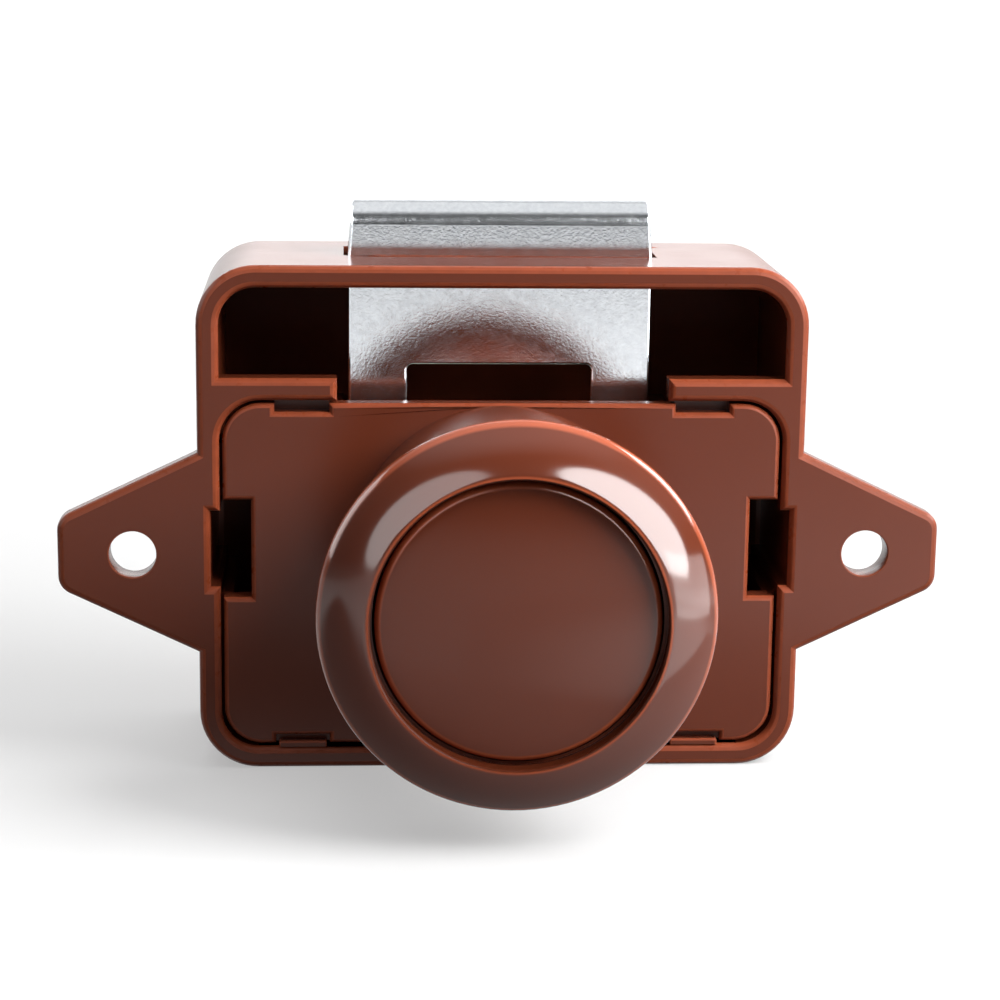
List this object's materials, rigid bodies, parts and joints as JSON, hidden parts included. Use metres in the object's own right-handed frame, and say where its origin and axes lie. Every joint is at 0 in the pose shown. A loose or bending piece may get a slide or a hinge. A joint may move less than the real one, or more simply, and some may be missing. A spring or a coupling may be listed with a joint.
{
  "type": "push button cabinet lock",
  "caption": "Round push-push button in a ring on a barrel that goes through a door, working a sprung sliding latch in a flat moulded case with screw ears.",
  "frame": {"origin": "on the button's axis, where it crosses the case's front face, which lies against the inside of the door, midway between the screw holes", "axes": "+X along the line of the screw holes, -Y out of the front face towards the button, +Z towards the latch"},
  "size_m": [0.0602, 0.0327, 0.0387],
  "materials": {
    "brown_plastic": "semi-gloss moulded, brown",
    "nylon": "natural nylon",
    "plated_steel": "zinc plated, mottled",
    "spring_steel": "drawn wire"
  },
  "bodies": {
    "case": {"case": "brown_plastic", "cover_plate": "brown_plastic", "bezel_ring": "brown_plastic", "button_spring": "spring_steel", "follower_wire": "spring_steel", "latch_spring_left": "spring_steel", "latch_spring_right": "spring_steel"},
    "button": {"button_cap": "brown_plastic", "plunger": "nylon", "cross_pin": "spring_steel"},
    "lifter": {"lifter": "nylon"},
    "latch": {"latch_bolt": "plated_steel"}
  },
  "joints": [
    {"name": "button_slide", "type": "slide", "parent": "case", "child": "button", "axis": [0, -1, 0], "range_m": [-0.0007, 0.0065], "deforming": ["button_spring", "follower_wire"]},
    {"name": "lifter_slide", "type": "slide", "parent": "case", "child": "lifter", "axis": [0, 0, -1], "range_m": [-0.00045, 0.00401]},
    {"name": "latch_slide", "type": "slide", "parent": "lifter", "child": "latch", "axis": [0, 0, -1], "range_m": [0, 0.0038], "stiffness_N_per_m": 250, "springref_m": -0.008, "deforming": ["latch_spring_left", "latch_spring_right"]}
  ],
  "couplings": [
    {"joint": "lifter_slide", "follows": "button_slide", "ratio": 0.61538}
  ]
}
